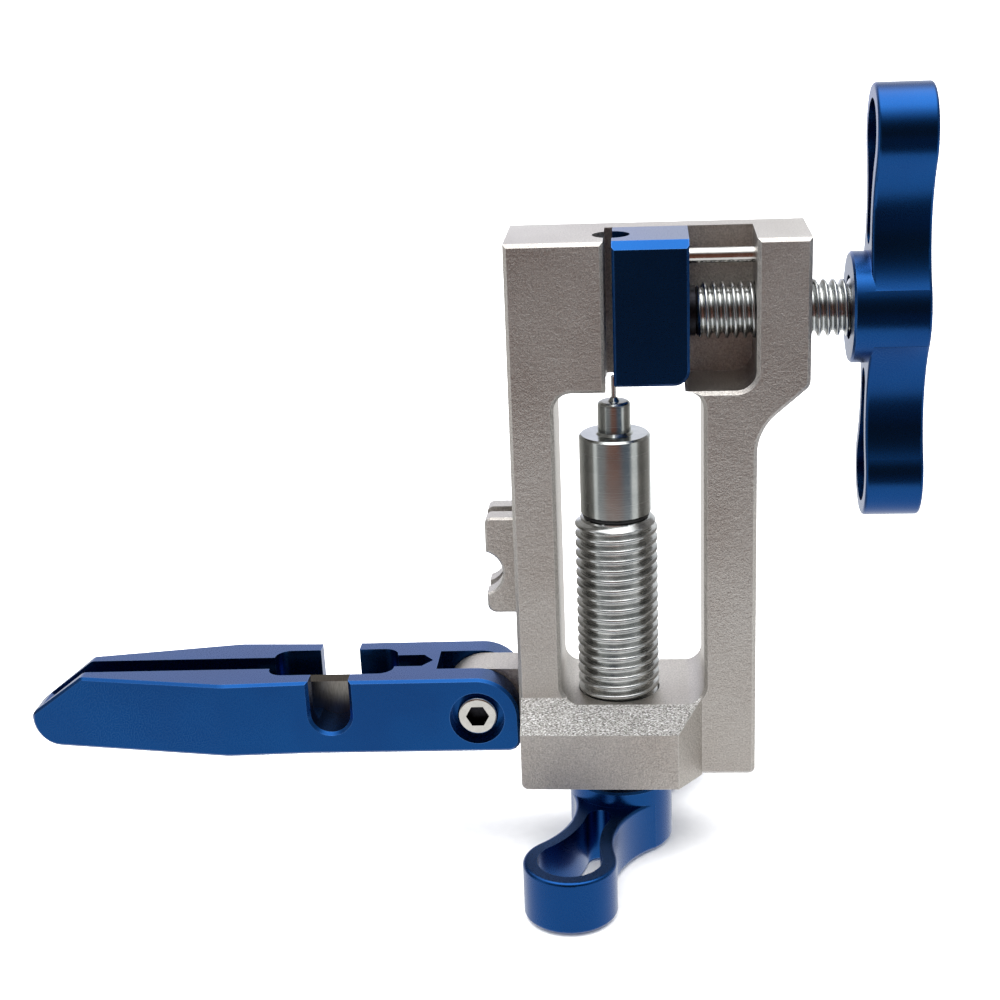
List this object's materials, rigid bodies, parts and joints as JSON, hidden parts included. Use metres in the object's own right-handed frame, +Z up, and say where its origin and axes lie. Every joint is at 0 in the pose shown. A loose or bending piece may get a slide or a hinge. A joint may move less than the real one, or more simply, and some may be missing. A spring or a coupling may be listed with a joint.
{
  "type": "hydraulic brake hose cutter and barb press",
  "caption": "Hand tool that clamps a hydraulic brake hose, presses a barb into it with a screw, and cuts it with a hinged blade arm.",
  "frame": {"origin": "mouth of the hose clamp bore in the frame's top face, on the axis of the press screw", "axes": "+Z up along the press axis and out of the hose bore, +X to the clamp knob, +Y to the back of the frame"},
  "size_m": [0.1326, 0.0584, 0.111],
  "materials": {
    "blasted_aluminium": "bead-blasted, clear anodised",
    "blue_anodised": "bead-blasted, blue anodised",
    "turned_steel": "turned, nickel plated",
    "bright_steel": "bright nickel plated",
    "ground_steel": "ground tool steel",
    "black_steel": "black oxide",
    "black_rubber": "smooth moulded",
    "bronze": "machined"
  },
  "bodies": {
    "frame": {"frame_body": "blasted_aluminium"},
    "jaw": {"clamp_jaw": "blue_anodised", "jaw_guide_pin": "bright_steel", "jaw_retaining_screw": "black_steel"},
    "clamp_spindle": {"clamp_screw": "turned_steel", "clamp_thrust_washer": "black_steel", "clamp_knob": "blue_anodised", "clamp_knob_set_screw": "black_steel"},
    "pusher": {"press_pusher": "turned_steel", "barb_pin": "bright_steel", "pusher_snap_ring": "bright_steel", "pusher_seal": "black_rubber"},
    "press_spindle": {"press_screw": "turned_steel", "press_knob": "blue_anodised", "press_knob_set_screw": "black_steel"},
    "arm": {"cutter_arm": "blue_anodised", "cutter_blade": "ground_steel", "blade_set_screws": "black_steel", "pivot_bolt": "bright_steel", "pivot_nut": "bright_steel", "pivot_washers": "bronze"}
  },
  "joints": [
    {"name": "arm_pivot", "type": "hinge", "parent": "frame", "child": "arm", "pos_m": [-0.02085, 0.0018, -0.07005], "axis": [0, 1, 0], "range_deg": [0, 90.5]},
    {"name": "jaw_slide", "type": "slide", "parent": "frame", "child": "jaw", "axis": [1, 0, 0], "range_m": [-0.0011, 0.0075]},
    {"name": "clamp_turn", "type": "hinge", "parent": "jaw", "child": "clamp_spindle", "pos_m": [0, 0, -0.0108], "axis": [1, 0, 0], "range_deg": [-316, 2160]},
    {"name": "press_feed", "type": "slide", "parent": "frame", "child": "pusher", "axis": [0, 0, 1], "range_m": [-0.02401, 0.00181]},
    {"name": "press_turn", "type": "hinge", "parent": "pusher", "child": "press_spindle", "pos_m": [0, 0, -0.04], "axis": [0, 0, 1], "range_deg": [-5760, 432]}
  ],
  "couplings": [
    {"joint": "jaw_slide", "follows": "clamp_turn", "m_per_rad": 0.00019894},
    {"joint": "press_feed", "follows": "press_turn", "m_per_rad": 0.00023873}
  ]
}
